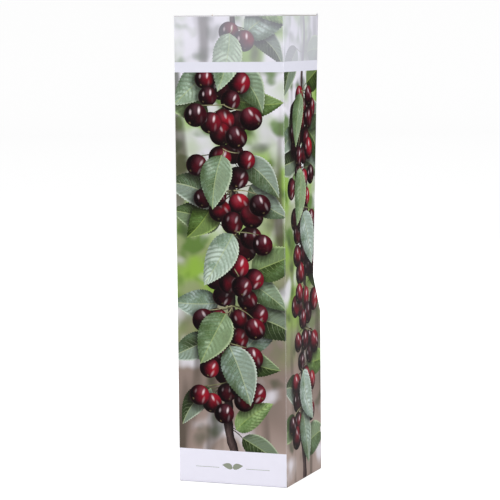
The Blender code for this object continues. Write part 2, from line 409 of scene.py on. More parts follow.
def fruit_ink():
    """A ripe crab apple's glossy skin: round in the light, crimson where it is lit, almost black
    on its far side, with soft windows reflected in it."""
    ink = new_material("offset print, dark red fruit")
    disc = add_node(ink, "UVMap", uv_map="print")
    tone, glint = (
        add_node(ink, "Attribute", attribute_name=name).outputs["Fac"]
        for name in ("tone", "bend")
    )
    reach = add_node(ink, "VectorMath", disc, operation="LENGTH").outputs["Value"]
    rise = add_node(ink, "Math", reach, 2.0, operation="POWER")
    rise = add_node(ink, "Math", 1.0, rise, operation="SUBTRACT", use_clamp=True)
    rise = add_node(ink, "Math", rise, operation="SQRT")
    lit = add_node(ink, "VectorMath", disc, (0.42, 0.30, 0.0), operation="DOT_PRODUCT")
    lit = add_node(ink, "Math", rise, 0.62, lit.outputs["Value"], operation="MULTIPLY_ADD")
    depth = add_node(ink, "Math", tone, 0.85, 0.42, operation="MULTIPLY_ADD")
    ripe = add_node(ink, "Math", lit, depth, operation="MULTIPLY")
    blank = add_node(ink, "UVMap", uv_map="blank")
    streak = add_node(ink, "TexNoise", blank, per_metre(10.5), 2.0)
    ripe = add_node(ink, "Math", streak, 0.30, ripe, operation="MULTIPLY_ADD")
    ripe = add_node(ink, "Math", ripe, 0.18, operation="SUBTRACT")
    skin = add_node(ink, "ValToRGB", ripe, stops=(
        (0.0, "#040102"), (0.20, "#1a040b"), (0.42, "#480918"), (0.66, "#840f22"),
        (0.95, "#b01a2a"),
    ))

    flecks = add_node(ink, "TexVoronoi", blank, per_metre(2.38)).outputs["Distance"]
    flecks = add_node(ink, "MapRange", flecks, 0.10, 0.20, 0.14, 0.0)
    bounce = add_node(
        ink, "MapRange", reach, 0.86, 1.0, 0.0, 0.14, interpolation_type="SMOOTHSTEP"
    )
    haze = add_node(ink, "VectorMath", disc, (0.10, 0.46, 0.0), operation="DISTANCE")
    haze = add_node(
        ink, "MapRange", haze.outputs["Value"], 0.0, 0.60, 0.11, 0.0,
        interpolation_type="SMOOTHSTEP",
    )
    coats = [(flecks, "#a8655c"), (bounce, "#6b3a44"), (haze, "#b08a9a")]
    faint = add_node(ink, "Math", 0.62, glint, operation="SUBTRACT", use_clamp=True)
    strong = add_node(ink, "Math", glint, -0.35, 1.0, operation="MULTIPLY_ADD")
    dim = add_node(ink, "Math", glint, 0.42, operation="MULTIPLY")
    for place, size, outer, strength in (
        ((-0.46, 0.22, 0.0), (1.4, 0.7, 1.0), 0.22, faint),
        ((0.28, 0.40, 0.0), (1.9, 0.80, 1.0), 0.33, strong),
        ((0.52, -0.28, 0.0), (1.5, 0.55, 1.0), 0.26, dim),
    ):
        window = add_node(ink, "VectorMath", disc, place, operation="SUBTRACT")
        window = add_node(ink, "VectorMath", window, size, operation="MULTIPLY")
        window = add_node(ink, "VectorMath", window, operation="LENGTH").outputs["Value"]
        window = add_node(
            ink, "MapRange", window, 0.02, outer, 1.0, 0.0, interpolation_type="SMOOTHSTEP"
        )
        window = add_node(ink, "Math", window, strength, operation="MULTIPLY")
        coats.append((window, "#f1dfe4"))
    for amount, tint in coats:
        skin = add_node(ink, "Mix", amount, skin, colour(tint), data_type="RGBA")
    return varnished(ink, skin)


def strip_ink(name, dark, light, streak):
    """Bark or a stalk: light along its middle and dark at its edges, so that it looks round."""
    ink = new_material(name)
    aside = add_node(ink, "SeparateXYZ", add_node(ink, "UVMap", uv_map="print")).outputs["Y"]
    aside = add_node(ink, "Math", aside, 0.25, operation="ADD")
    aside = add_node(ink, "Math", aside, operation="ABSOLUTE")
    lit = add_node(ink, "MapRange", aside, 0.05, 1.0, 1.0, 0.0)
    blank = add_node(ink, "UVMap", uv_map="blank")
    stretch = add_node(ink, "Mapping", {"Vector": blank, "Scale": (1.0, 0.3, 1.0)})
    bark = add_node(ink, "TexNoise", stretch, per_metre(streak), 3.0)
    lit = add_node(ink, "Math", lit, bark, operation="MULTIPLY")
    lit = add_node(ink, "MapRange", lit, 0.0, 0.55, 0.0, 1.0)
    tone = add_node(ink, "Attribute", attribute_name="tone").outputs["Fac"]
    lit = add_node(ink, "Math", lit, tone, operation="MULTIPLY")
    tint = add_node(ink, "Mix", lit, colour(dark), colour(light), data_type="RGBA")
    return varnished(ink, tint)


def flat_ink(name, tint, deviation):
    """White liner left bare under the varnish, or one even ink on it, with a faint mottle."""
    ink = new_material(name)
    blank = add_node(ink, "UVMap", uv_map="blank")
    mottle = add_node(ink, "TexNoise", blank, per_metre(16.7), 4.0)
    tint = add_node(ink, "Mix", mottle, colour(tint), colour(deviation), data_type="RGBA")
    return varnished(ink, tint)


def kraft_liner():
    """Unbleached kraft liner: matt brown paper with long fibres and the flutes just showing."""
    liner = new_material("unbleached kraft liner")
    blank = add_node(liner, "UVMap", uv_map="blank")
    along = add_node(liner, "Mapping", {"Vector": blank, "Scale": (1.0, 0.214, 1.0)})
    fibres = add_node(liner, "TexNoise", along, per_metre(1.43), 4.0)
    fibres = add_node(liner, "MapRange", fibres, 0.3, 0.7, 0.0, 1.0)
    clouds = add_node(liner, "TexNoise", blank, per_metre(71.4), 3.0)
    dust = add_node(liner, "Math", fibres, 0.35, operation="MULTIPLY")
    flute = fluting(liner, add_node(liner, "SeparateXYZ", blank).outputs["X"])
    lines = add_node(liner, "MapRange", flute, 0.2, 1.0, 0.0, 0.16)
    tint = colour("#a98459")
    for amount, coat in ((clouds, "#bb9669"), (dust, "#8d6a45"), (lines, "#d0ae80")):
        tint = add_node(liner, "Mix", amount, tint, colour(coat), data_type="RGBA")
    height = add_node(liner, "Math", fibres, 0.00003, operation="MULTIPLY")
    height = add_node(liner, "Math", flute, 0.00004, height, operation="MULTIPLY_ADD")
    return surfaced(liner, tint, 0.88, height, 0.6, ior=1.45)


def cut_edge():
    """The board's die-cut edge: two pale liners with the fluted paper winding between them, and painted
    shade, a darker grey, in the open hollows between them.
    """
    edge = new_material("die-cut corrugated edge")
    own = add_node(edge, "SeparateXYZ", add_node(edge, "UVMap", uv_map="print"))
    along, deep = own.outputs["X"], own.outputs["Y"]
    wave = add_node(edge, "Math", fluting(edge, along), 0.34, 0.5, operation="MULTIPLY_ADD")
    paper = add_node(edge, "Math", wave, deep, operation="SUBTRACT")
    paper = add_node(edge, "Math", paper, operation="ABSOLUTE")
    paper = add_node(edge, "MapRange", paper, 0.09, 0.20, 1.0, 0.0)
    liner = add_node(edge, "Math", deep, 0.5, operation="SUBTRACT")
    liner = add_node(edge, "Math", liner, operation="ABSOLUTE")
    liner = add_node(edge, "MapRange", liner, 0.33, 0.40, 0.0, 1.0)
    solid = add_node(edge, "Math", paper, liner, operation="MAXIMUM")
    place = add_node(edge, "TexCoord").outputs["Object"]
    fuzz = add_node(edge, "TexNoise", place, per_metre(0.556), 2.0)
    outer = add_node(edge, "MapRange", deep, 0.10, 0.16, 1.0, 0.0)
    tint = colour("#dad8d6")
    for amount, coat in ((fuzz, "#e8e6e4"), (outer, "#e6e5e6")):
        tint = add_node(edge, "Mix", amount, tint, colour(coat), data_type="RGBA")
    # Where neither a liner nor the fluted paper is, the hollow takes a darker grey: painted shade.
    tint = add_node(edge, "Mix", solid, colour("#c6c2bd"), tint, data_type="RGBA")
    height = add_node(edge, "Math", solid, 0.0004, operation="MULTIPLY")
    return surfaced(edge, tint, 0.92, height, 0.5)


SURFACES = (
    backdrop_ink(),
    leaf_ink(),
    fruit_ink(),
    strip_ink("offset print, dry calyx", "#241a12", "#8d7a55", 1.11),
    strip_ink("offset print, bark", "#241a1c", "#6e5a57", 2.38),
    strip_ink("offset print, green stalk", "#4f5233", "#c9c19a", 3.33),
    flat_ink("varnished white liner", "#e2e2ee", "#dedeea"),
    # The label's liner is painted whiter than the band's: painted light for the light that the white floor
    # throws up on the front's foot. The back wall's label takes the same ink.
    flat_ink("varnished white label, painted lighter for floor light", "#f4f2ff", "#f0eefb"),
    flat_ink("offset print, grey green", "#9aa08f", "#92988a"),
    kraft_liner(),
    cut_edge(),
)


class Motif:
    """One thing in the printed picture: its ink, its outline, how its ink lies on it and, if it
    casts a printed shadow, how far outside it a point is."""

    def __init__(self, ink, outline, place, reach=None, tone=0.5, bend=0.0):
        self.ink = ink
        self.outline = outline
        self.place = place
        self.reach = reach
        self.tone = tone
        self.bend = bend
        self.middle = sum(outline, Vector((0.0, 0.0))) / len(outline)
        self.extent = max((point - self.middle).length for point in outline)


def heading(down):
    """A direction in the picture, from an angle that starts straight down and turns right."""
    return Vector((sin(down), -cos(down)))


def bowed(most, along):
    """How far a bowed line stands off its chord at a share of its length."""
    return most * 4 * along * (1 - along)


def leaf(foot, down, length, half, bend, tone, ink=LEAF, teeth=20, jut=0.060):
    """A toothed oval leaf that grows from its foot. Half its breadth is a share of its length,
    and each tooth juts out by a share of that."""
    ahead = heading(down)
    aside = Vector((-ahead.y, ahead.x))

    def spot(along, off):
        off += bowed(bend, along)
        return foot + ahead * length * along + aside * length * half * off

    def place(point):
        rel = point - foot
        return rel.dot(ahead) / length, rel.dot(aside) / (length * half)

    def reach(point):
        along, off = place(point)
        held = min(max(along, 0.0), 1.0)
        wide = abs(off - bowed(bend, held)) - leaf_breadth(along)
        return max(wide * length * half, -along * length, (along - 1) * length)

    flanks = []
    for tooth in range(teeth):
        for step, out in ((0.0, 0.0), (0.72, jut)):
            along = (tooth + step) / teeth
            flanks.append((along, leaf_breadth(along) + (out if 0 < tooth < teeth - 1 else 0.0)))
    right = [spot(along, -off) for along, off in flanks]
    left = [spot(along, off) for along, off in reversed(flanks[1:])]
    outline = right + [spot(1.0, 0.0)] + left
    return Motif(ink, outline, place, reach if ink == LEAF else None, tone, bend)


MOST_TURN = 40  # degrees that a fruit's ink may be turned


def round_fruit(middle, radius, tone, turn):
    """A round fruit. Its ink is turned a little, so that no two fruits shine alike."""
    turned = Matrix.Rotation(-turn, 2)

    def place(point):
        return tuple(turned @ (point - middle) / radius)

    def reach(point):
        return (point - middle).length - radius

    outline = [
        middle + Vector((cos(angle), 0.96 * sin(angle))) * radius
        for angle in (tau * step / 28 for step in range(28))
    ]
    return Motif(FRUIT, outline, place, reach, tone, abs(turn) / radians(MOST_TURN))


def calyx(middle, radius, down, tone):
    """The dry five-pointed star at the end of a crab apple, seen at a slant."""
    along = heading(down)
    across = Vector((-along.y, along.x))

    def place(point):
        return point.x / radius, (point - middle).length / radius - 0.6

    outline = []
    for step in reversed(range(10)):
        turn = tau * step / 10
        size = radius * (1.0 if step % 2 else 0.42)
        outline.append(middle + across * size * cos(turn) + along * 0.62 * size * sin(turn))
    return Motif(CALYX, outline, place, None, tone)


def stalk(start, end, thick, thin, sag, tone, steps=8):
    """A thin green stalk between two points, bowed aside in its middle."""
    chord = end - start
    length = chord.length
    ahead = chord / length
    aside = Vector((-ahead.y, ahead.x))

    def half(along):
        return (thick + (thin - thick) * along) / 2

    def spot(along, off):
        return start + chord * along + aside * (bowed(sag, along) + half(along) * off)

    def place(point):
        rel = point - start
        along = min(max(rel.dot(ahead) / length, 0.0), 1.0)
        return along, (rel.dot(aside) - bowed(sag, along)) / half(along)

    shares = [step / steps for step in range(steps + 1)]
    outline = [spot(share, -1) for share in shares] + [spot(share, 1) for share in shares[::-1]]
    return Motif(STALK, outline, place, None, tone)


def leader(middle, low, high, phase):
    """The tree's wavy main stem, which climbs through the whole picture, and its middle line.
    Its long bends of 47 cm carry short ones of 13 cm, and a knot swells it every 33 mm."""
    sway, thick, steps = 0.012, 0.018, 90

    def centre(height):
        slow = sway * sin(tau * height / 0.47 + phase)
        return middle + slow + 0.3 * sway * sin(tau * height / 0.13)

    def half(height):
        return thick * (1.0 - 0.45 * height / WALL_TOP) * (1 + 0.12 * sin(height * 190)) / 2

    def place(point):
        return point.y, (point.x - centre(point.y)) / half(point.y)

    def reach(point):
        return abs(point.x - centre(point.y)) - half(point.y)

    heights = [low + (high - low) * step / steps for step in range(steps + 1)]
    right = [Vector((centre(height) + half(height), height)) for height in heights]
    left = [Vector((centre(height) - half(height), height)) for height in reversed(heights)]
    return Motif(BARK, right + left, place, reach, 0.6), centre


def block(ink, left, low, right, high):
    """A rectangle of bare liner or of one even ink."""
    outline = [Vector(p) for p in ((left, low), (right, low), (right, high), (left, high))]
    return Motif(ink, outline, lambda point: (0.0, 0.0))


FRUIT_GAP = 0.0255  # least distance between the middles of two fruits


def picture(seed, left, right, low, high, side=1, laden=HEADER_FOOT + 0.03, few=2):
    """Fruiting crab-apple sprays up a panel, from the leaves at the back to those in front.
    The stem's foot is bare of fruit, and only a few hang on a spur above the laden height."""
    draw = Random(seed)
    stem, centre = leader((left + right) / 2, low - 0.02, high + 0.02, draw.uniform(0, tau))
    behind, far_stalks, far, near_stalks, near, before = [], [], [], [], [], []
    spur = low + 0.042
    while spur < high + 0.10:
        foot = Vector((centre(spur), spur))
        for turn in (60, 112):
            for way in (side, -side):
                if draw.random() < 0.36:
                    start = Vector((way * draw.uniform(0.012, 0.034), draw.uniform(-0.02, 0.02)))
                    base = foot + start
                    behind.append(stalk(foot, base, 0.0022, 0.0018, 0.002, 0.5, 4))
                    behind.append(leaf(
                        base, way * radians(turn + draw.uniform(-28, 22)),
                        draw.uniform(0.086, 0.116), draw.uniform(0.22, 0.30),
                        way * draw.uniform(-0.35, 0.55), draw.uniform(0.05, 0.85),
                    ))
        laid = []
        tries = 0
        crop = 0 if spur < low + 0.09 else 10 if spur < laden else few
        while len(laid) < crop and tries < 200:
            tries += 1
            down = side * radians(draw.uniform(-80, 70))
            spot = foot + heading(down) * draw.uniform(0.012, 0.060)
            if all((spot - other[0]).length > FRUIT_GAP for other in laid):
                laid.append((spot, draw.uniform(0.0180, 0.0228), down))
        for number, (spot, radius, down) in enumerate(laid):
            group, stalks = (far, far_stalks) if number < 5 else (near, near_stalks)
            shift = draw.uniform(-0.004, 0.004)
            stalks.append(stalk(
                foot + Vector((shift, 0.004)), spot + Vector((shift, radius * 0.80)),
                0.0024, 0.0016, draw.uniform(-0.005, 0.005), draw.uniform(0.3, 0.9),
            ))
            group.append(round_fruit(
                spot, radius, draw.uniform(0.0, 0.85),
                radians(draw.uniform(-MOST_TURN, MOST_TURN)),
            ))
            hang = down * 0.5 + radians(draw.uniform(-30, 30))
            group.append(calyx(
                spot + heading(hang) * radius * draw.uniform(0.66, 0.80), radius * 0.17, hang,
                draw.uniform(0.2, 0.6),
            ))
        if draw.random() < 0.60 and crop:
            way = draw.choice((side, -side))
            down = way * radians(draw.uniform(4, 50))
            base = foot + heading(down) * draw.uniform(0.006, 0.030) + Vector((0.0, 0.010))
            before.append(stalk(foot, base, 0.0022, 0.0018, 0.002, 0.8, 4))
            before.append(leaf(
                base, down, draw.uniform(0.096, 0.120), draw.uniform(0.25, 0.31),
                way * draw.uniform(-0.3, 0.3), draw.uniform(0.55, 0.90),
            ))
        spur += draw.uniform(0.064, 0.080)
        side = -side
    return behind + [stem] + far_stalks + far + near_stalks + near + before


def worn_ink(u, v):
    """How far white is printed over the picture here, and how far a crease has worn the ink."""
    creases = (WIDTH / 2, WIDTH / 2 + DEPTH, WIDTH * 1.5 + DEPTH)
    aside = min(abs(abs(u) - crease) for crease in creases)
    rub = max(0.0, 1 - min(aside, WALL_TOP - v) / CREASE_REACH)
    wash = HEADER_WASH if abs(u) < WIDTH / 2 else SIDE_WASH
    return wash if v > HEADER_FOOT - 1e-5 else 0.0, CREASE_WEAR * rub


def new_blank():
    """An empty flat sheet with the layers that its surfaces read."""
    sheet = bmesh.new()
    for name in ("blank", "print", "OFBake"):
        sheet.loops.layers.uv.new(name)
    for name in ("tone", "shadow", "wash", "wear", "bend"):
        sheet.loops.layers.float.new(name)
    return sheet


def printed(outline, motifs, columns=(), rows=(), wear=worn_ink):
    """The flat sheet inside an outline, cut along its motifs, each bit inked by the top one."""
    points = [Vector(point) for point in outline]
    low = Vector((min(p.x for p in points), min(p.y for p in points)))
    high = Vector((max(p.x for p in points), max(p.y for p in points)))
    rings = [list(range(len(points)))]
    for motif in motifs:
        rings.append(list(range(len(points), len(points) + len(motif.outline))))
        points += motif.outline
    lines = []
    across = round((high.x - low.x) / PICTURE_STEP)
    up = round((high.y - low.y) / PICTURE_STEP)
    for u in columns:
        lines.append((len(points), len(points) + 1))
        points += [Vector((u, low.y)), Vector((u, high.y))]
        points += [Vector((u, low.y + (high.y - low.y) * row / up)) for row in range(1, up)]
    for v in rows:
        lines.append((len(points), len(points) + 1))
        points += [Vector((low.x, v)), Vector((high.x, v))]
        points += [
            Vector((low.x + (high.x - low.x) * column / across, v)) for column in range(1, across)
        ]
    for column in range(1, across):
        for row in range(1, up):
            share = Vector((column / across, row / up))
            points.append(low + (high - low) * share)
    inside_only, nearest = 1, 1e-7
    spots, _, cells, _, _, owners = delaunay_2d_cdt(
        points, lines, rings, inside_only, nearest, True
    )

    def shadows(spot):
        """The printed shadow that falls here from each motif near enough to cast one. The
        backdrop is too far behind them to catch any."""
        cast = []
        lit_from = spot - SHADOW_DROP
        for layer, motif in enumerate(motifs, 1):
            near = motif.extent + SHADOW_REACH
            if motif.reach and (lit_from - motif.middle).length < near:
                strength = 1 - max(0.0, motif.reach(lit_from)) / SHADOW_REACH
                if strength > 0:
                    cast.append((layer, strength))
        return cast

    cast = [shadows(spot) for spot in spots]
    sheet = new_blank()
    own = sheet.loops.layers.uv["print"]
    tone, shadow, wash, worn, bend = (
        sheet.loops.layers.float[name] for name in ("tone", "shadow", "wash", "wear", "bend")
    )
    corners = [sheet.verts.new((spot.x, spot.y, 0.0)) for spot in spots]
    for cell, rings_round in zip(cells, owners):
        if 0 not in rings_round:
            continue
        top = max(rings_round)
        motif = motifs[top - 1] if top else None
        face = sheet.faces.new([corners[index] for index in cell])
        face.material_index = motif.ink if motif else BACKDROP
        for loop, index in zip(face.loops, cell):
            if motif:
                loop[own].uv = motif.place(spots[index])
                loop[tone] = motif.tone
                loop[bend] = motif.bend
            above = [strength for layer, strength in cast[index] if layer > top > 0]
            loop[shadow] = max(above, default=0.0)
            loop[wash], loop[worn] = wear(spots[index].x, spots[index].y)
    stray = [vert for vert in sheet.verts if not vert.link_faces]
    bmesh.ops.delete(sheet, geom=stray, context="VERTS")
    return sheet


PRINT_WIDTH = 0.76  # in this line and the next two, shares of the baking map's breadth
KRAFT_LEFT, KRAFT_WIDTH = 0.77, 0.15
EDGE_LEFT, EDGE_WIDTH, EDGE_COLUMNS = 0.93, 0.07, 4
MAP_MARGIN = 0.004  # kept clear round each face


def rim_shares(sheet):
    """How far along the sheet's rim each of its points lies, as a share of the whole way."""
    edge = next(e for e in sheet.edges if e.is_boundary)
    vert, girth = edge.verts[0], 0.0
    rim = {}
    while vert not in rim:
        rim[vert] = girth
        girth += edge.calc_length()
        vert = edge.other_vert(vert)
        edge = next(e for e in vert.link_edges if e.is_boundary and e is not edge)
    return {vert.co.to_tuple(7): length / girth for vert, length in rim.items()}


def boarded(sheet, fold, name, body, node, halves=1):
    """Give a flat sheet the board's thickness, fold it into place and hand it over as a piece.

    Its baking map holds the printed face, in one or two lengths side by side, then the kraft
    face, and then the cut edge in narrow columns."""
    along_rim = rim_shares(sheet)
    raised = bmesh.ops.extrude_face_region(sheet, geom=sheet.faces[:])["geom"]
    inner = [item for item in raised if isinstance(item, bmesh.types.BMVert)]
    bmesh.ops.translate(sheet, verts=inner, vec=(0.0, 0.0, -BOARD))
    bmesh.ops.recalc_face_normals(sheet, faces=sheet.faces[:])

    blank, own, bake = (sheet.loops.layers.uv[name] for name in ("blank", "print", "OFBake"))
    low = Vector([min(vert.co[axis] for vert in sheet.verts) for axis in (0, 1)])
    high = Vector([max(vert.co[axis] for vert in sheet.verts) for axis in (0, 1)])
    size = high - low
    inside = 1 - 2 * MAP_MARGIN
    for face in sheet.faces:
        for loop in face.loops:
            loop[blank].uv = loop.vert.co.xy
        depths = [-vert.co.z for vert in face.verts]
        if min(depths) < BOARD / 2 < max(depths):
            face.material_index = CUT
            places = [Vector((loop.vert.co.x, loop.vert.co.y, 0.0)) for loop in face.loops]
            shares = [along_rim[place.to_tuple(7)] for place in places]
            if max(shares) - min(shares) > 0.5:
                shares = [share or 1.0 for share in shares]
            column = int(sum(shares) / len(shares) * EDGE_COLUMNS * 0.9999)
            for loop, share in zip(face.loops, shares):
                deep = -loop.vert.co.z / BOARD
                loop[own].uv = (loop.vert.co.x, deep)
                loop[bake].uv = (
                    EDGE_LEFT + (column + 0.1 + 0.7 * deep) * EDGE_WIDTH / EDGE_COLUMNS,
                    0.02 + 0.96 * (share * EDGE_COLUMNS - column),
                )
            continue
        left, width, lengths, half = KRAFT_LEFT, KRAFT_WIDTH, 1, 0
        if max(depths) < BOARD / 2:
            half = int(halves > 1 and face.calc_center_median().y > (low.y + high.y) / 2)
            left = PRINT_WIDTH / halves * (half + MAP_MARGIN)
            width, lengths = PRINT_WIDTH / halves * inside, halves
        else:
            face.material_index = KRAFT
        for loop in face.loops:
            share_u = (loop.vert.co.x - low.x) / size.x
            share_v = (loop.vert.co.y - low.y) / size.y * lengths - half
            loop[bake].uv = (left + width * share_u, MAP_MARGIN + inside * share_v)
    for vert in sheet.verts:
        vert.co = fold(vert.co.x, vert.co.y, -vert.co.z)
    used = sorted({face.material_index for face in sheet.faces})
    for face in sheet.faces:
        face.material_index = used.index(face.material_index)
    piece = finished(name, sheet, *[SURFACES[index] for index in used])
    piece.data.shade_smooth()
    piece.data.set_sharp_from_angle(angle=radians(40))
    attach(piece, body)
    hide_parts(node)


def on_walls(u, v, depth):
    """Wrap the blank round the carton: u runs along the walls from the middle of the front to
    the right, v upwards, and depth inwards from the printed face."""
    along = (u + WIDTH / 2) % (2 * (WIDTH + DEPTH))
    corner, ahead = Vector((-WIDTH / 2, -DEPTH / 2)), Vector((1.0, 0.0))
    quarter = Matrix.Rotation(radians(90), 2)
    length, next_length = WIDTH, DEPTH
    while along > length:
        corner += ahead * length
        ahead = quarter @ ahead
        along -= length
        length, next_length = next_length, length
    height = v
    if v < FOOT_BEND:
        tilt = radians(90) * (1 - v / FOOT_BEND)
        height = FOOT_BEND - (FOOT_BEND - depth) * sin(tilt)
        depth = FOOT_BEND - (FOOT_BEND - depth) * cos(tilt)
    inward = quarter @ ahead
    if CORNER_BEND < along < length - CORNER_BEND:
        share = (along - CORNER_BEND) / (length - 2 * CORNER_BEND)
        bow = WALL_BOW * sin(pi * share) * sin(pi * min(v / WALL_TOP, 1.0))
        spot = corner + ahead * along + inward * (depth + bow)
    else:
        if along <= CORNER_BEND:
            turn = along / CORNER_BEND - 1
            middle = corner + (ahead + inward) * CORNER_BEND
        else:
            turn = 1 - (length - along) / CORNER_BEND
            middle = corner + ahead * (length - CORNER_BEND) + inward * CORNER_BEND
        lean = Matrix.Rotation(radians(45) * turn, 2)
        spot = middle + lean @ -inward * (CORNER_BEND - depth)
    return Vector((spot.x, spot.y + (front_low.y + DEPTH / 2), height))


def sprig(spot):
    """The label's small ornament: a pair of leaves and a rule on either side."""
    size, rule_end, half_rule = 0.021, 0.072, 0.0004
    leaves = [
        leaf(spot, side * radians(104), size, 0.26, side * 0.3, 0.5, RULE, 6, 0.0)
        for side in (1, -1)
    ]
    rules = [
        block(RULE, spot.x + low, spot.y - half_rule, spot.x + high, spot.y + half_rule)
        for low, high in ((-rule_end, -size * 1.25), (size * 1.25, rule_end))
    ]
    return leaves + rules


FRONT_TOP = WALL_TOP - FIT
half_front = WIDTH / 2 + CORNER_BEND
sprays = picture(7, -WIDTH / 2, WIDTH / 2, LABEL_TOP, WALL_TOP + DEPTH)
motifs = [
    *sprays, block(WHITE, -half_front - BLEED, BAND_FOOT, half_front + BLEED, HEADER_FOOT),
    block(LABEL, -WIDTH / 2, -BLEED, WIDTH / 2, LABEL_TOP), *sprig(Vector((0.0, 0.030))),
]
bends = [
    way * (WIDTH / 2 + off) for way in (-1, 1)
    for off in (-CREASE_REACH, -CORNER_BEND, -CORNER_BEND / 2, 0.0, CORNER_BEND / 2)
]
foot_rows = [FOOT_BEND * share for share in (0.25, 0.5, 0.75, 1.0)]
wall_rows = foot_rows + [
    LABEL_TOP, BAND_FOOT, HEADER_FOOT, FRONT_TOP / 2, FRONT_TOP - CREASE_REACH
]
corners = [
    (-half_front, 0.0), (half_front, 0.0), (half_front, FRONT_TOP), (-half_front, FRONT_TOP)
]
boarded(
    printed(corners, motifs, bends, wall_rows), on_walls, "front_wall", "carton",
    "front_panel", halves=2,
)


# Side walls
# The same blank, so the same board and ink. Above the pot space each side is cut back to a
# narrow hood with a sloped shoulder, and ends in a small ear that holds the lid's rear corner.
side_low, side_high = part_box("right_panel")
lid_low, lid_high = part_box("lid")
tuck_low, tuck_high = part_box("tuck_flap")
dust_low, dust_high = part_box("right_dust_flap")
lock_low, lock_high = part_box("lock_tab")
SHOULDER_LOW = rear_high.z
SHOULDER_HIGH = 0.3688
NECK_DEPTH = 0.1513
EAR_LENGTH = 0.008
CREASE_DROP = 0.0006  # the dust flap's liner bends over the wall's top edge here
SLIT_ROUND = 0.0008
DUST_PLAY = 0.0008  # from a dust flap's end to the end of its crease
hood_depth = tuck_high.y - front_low.y


def cut_out(*corners):
    """A flat sheet with the given corners, each rounded back over its own length."""
    sheet = new_blank()
    verts = [sheet.verts.new((u, v, 0.0)) for u, v, _ in corners]
    sheet.faces.new(verts).material_index = WHITE
    for vert, (_, _, reach) in zip(verts, corners):
        if reach:
            bmesh.ops.bevel(
                sheet, geom=[vert], offset=reach, offset_type="OFFSET", segments=6,
                profile=0.5, affect="VERTICES", material=-1,
            )
    return sheet


def outline_of(sheet):
    """The points round a cut-out sheet, which is given up for them."""
    sheet.faces.ensure_lookup_table()
    outline = [vert.co.xy for vert in sheet.faces[0].verts]
    sheet.free()
    return outline


front_edge = CORNER_BEND + SEAM
rear_edge = DEPTH - CORNER_BEND - SEAM
slit_in = lock_low.y - front_low.y - FIT
crease_front = dust_low.y - front_low.y - DUST_PLAY
crease_rear = dust_high.y - front_low.y + DUST_PLAY
slit = [
    (rear_edge, lock_low.z - FIT, 0), (slit_in, lock_low.z - FIT, SLIT_ROUND),
    (slit_in, lock_high.z + FIT, SLIT_ROUND), (rear_edge, lock_high.z + FIT, 0),
]
upper = [
    (rear_edge, SHOULDER_LOW, 0.0034), (NECK_DEPTH, SHOULDER_HIGH, 0.0050),
    (hood_depth, side_high.z, 0.0006), (hood_depth - EAR_LENGTH * 0.75, side_high.z, 0.0012),
    (hood_depth - EAR_LENGTH, WALL_TOP, 0), (crease_rear, WALL_TOP, 0),
    (crease_rear, WALL_TOP - CREASE_DROP, 0), (crease_front, WALL_TOP - CREASE_DROP, 0),
    (crease_front, WALL_TOP, 0), (front_edge, WALL_TOP, 0),
]
for way, name, cuts, seed in ((1, "right", slit, 12), (-1, "left", [], 31)):
    corners = [(front_edge, 0.0, 0), (rear_edge, 0.0, 0), *cuts, *upper]
    corners = [(way * (WIDTH / 2 + depth), height, reach) for depth, height, reach in corners]
    outline = outline_of(cut_out(*corners[::way]))
    ends = sorted((way * WIDTH / 2, way * (WIDTH / 2 + DEPTH)))
    motifs = picture(seed, *ends, 0.02, WALL_TOP, way, HEADER_FOOT + 0.01, 0)
    motifs.append(block(WHITE, ends[0] - BLEED, BAND_FOOT, ends[1] + BLEED, HEADER_FOOT))
    bends = [way * (WIDTH / 2 + depth) for depth in (CREASE_REACH, DEPTH - CREASE_REACH)]
    boarded(
        printed(outline, motifs, bends, wall_rows), on_walls, name + "_wall", "carton",
        name + "_panel", halves=2,
    )


# Low back wall
# The blank's last wall closes the pot space behind. Its right crease is notched where its lock
# tab turns in through the right wall's slit, and its left end is glued over the seam flap.
LABEL_SIDE = 0.018  # print left on either side of the label
back_low = WIDTH / 2 + DEPTH - CORNER_BEND
back_high = back_low + WIDTH + 2 * CORNER_BEND
notch = back_low + CORNER_BEND
corners = [
    (back_low, 0.0), (back_high, 0.0), (back_high, SHOULDER_LOW), (back_low, SHOULDER_LOW),
    (back_low, lock_high.z), (notch, lock_high.z), (notch, lock_low.z), (back_low, lock_low.z),
]
motifs = picture(5, notch, notch + WIDTH, 0.03, SHOULDER_LOW)
motifs.append(block(
    LABEL, notch + LABEL_SIDE, LABEL_TOP, notch + WIDTH - LABEL_SIDE, SHOULDER_LOW - LABEL_TOP
))
motifs += sprig(Vector((notch + WIDTH / 2, SHOULDER_LOW / 2)))
bends = [
    end + off for end in (notch, notch + WIDTH)
    for off in (-CORNER_BEND / 2, 0.0, CORNER_BEND / 2, CORNER_BEND, CREASE_REACH)
]
boarded(
    printed(corners, motifs, bends, foot_rows + [SHOULDER_LOW / 2]), on_walls, "back_wall",
    "carton", "back_panel", halves=2,
)


# Seam flap
# A narrow tapered flap of the left wall, glued flat inside the back wall to close the sleeve.
SEAM_TAPER = 0.008
SEAM_ROUND = 0.002
seam_low, seam_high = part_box("seam_flap")
sheet = cut_out(
    (-seam_high.x, seam_low.z + SEAM_TAPER, SEAM_ROUND), (-seam_low.x, seam_low.z, 0),
    (-seam_low.x, seam_high.z, 0), (-seam_high.x, seam_high.z - SEAM_TAPER, SEAM_ROUND),
)
boarded(
    sheet, lambda u, v, depth: Vector((-u, seam_high.y - depth, v)), "glued_seam_flap",
    "carton", "seam_flap",
)


